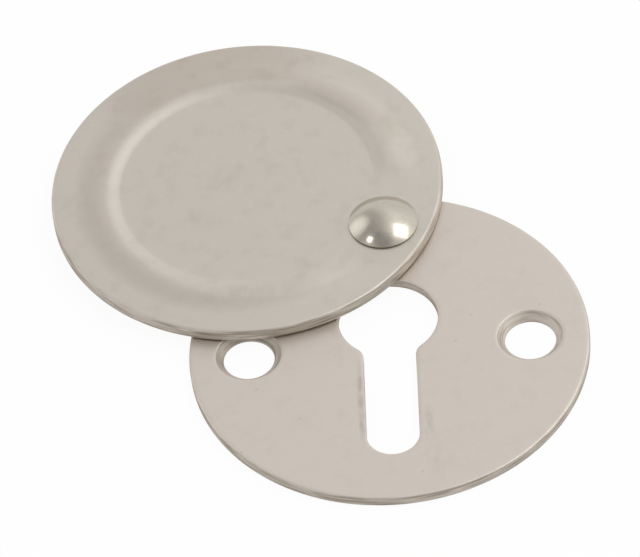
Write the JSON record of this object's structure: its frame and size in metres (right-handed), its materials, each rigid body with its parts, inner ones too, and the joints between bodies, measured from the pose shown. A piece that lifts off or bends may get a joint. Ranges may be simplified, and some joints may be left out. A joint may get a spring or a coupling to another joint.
{
  "type": "keyhole escutcheon",
  "caption": "Round keyhole escutcheon: a thin screwed plate with a lever-lock keyhole, hidden by a pressed round cover that swings on a dome-headed rivet.",
  "frame": {"origin": "centre of the round plate, midway between its screw holes, in the plane of its back face", "axes": "+Z out of the door, +Y up the plate from the key slot to the pivot rivet, +X to the right seen from the front"},
  "size_m": [0.043, 0.0495, 0.0031],
  "materials": {
    "plate_satin": "satin nickel plate",
    "cover_satin": "satin nickel plate",
    "rivet_polished": "polished nickel plate"
  },
  "bodies": {
    "plate": {"back_plate": "plate_satin", "pivot_rivet": "rivet_polished"},
    "cover": {"swing_cover": "cover_satin"}
  },
  "joints": [
    {"name": "cover_swing", "type": "hinge", "parent": "plate", "child": "cover", "pos_m": [0, 0.0122, 0.0014], "axis": [0, 0, 1], "continuous": true}
  ]
}
